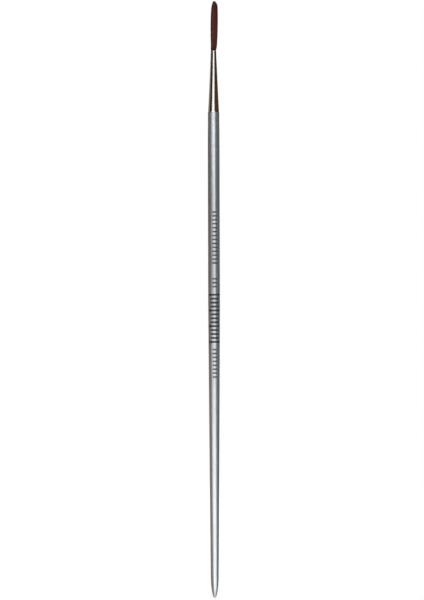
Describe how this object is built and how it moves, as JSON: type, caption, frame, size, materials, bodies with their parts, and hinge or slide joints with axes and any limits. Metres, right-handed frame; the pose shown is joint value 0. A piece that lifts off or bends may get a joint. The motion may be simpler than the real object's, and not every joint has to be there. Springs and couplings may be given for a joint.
{
  "type": "fine detail brush",
  "caption": "Long-handled round detail brush with a turned silver-lacquered handle, a polished conical ferrule and a slim rounded tuft of dark synthetic filaments.",
  "frame": {"origin": "on the brush's axis, at the middle of the straight grip", "axes": "+Z along the brush from the tail to the tip of the tuft; X and Y are alike, since the brush is round"},
  "size_m": [0.006, 0.006, 0.3048],
  "materials": {
    "wood": "bare turned hardwood",
    "lacquer": "silver metallic lacquer",
    "ferrule_metal": "polished nickel plate",
    "glue": "cured amber glue",
    "resin": "cured brown resin",
    "thread": "twisted cotton",
    "filament": "satin synthetic filament"
  },
  "bodies": {
    "root": {"handle_core": "wood", "handle_lacquer": "lacquer", "ferrule": "ferrule_metal", "tenon_glue": "glue", "root_resin": "resin", "binding_thread": "thread", "bristle_tuft": "filament"}
  },
  "joints": []
}
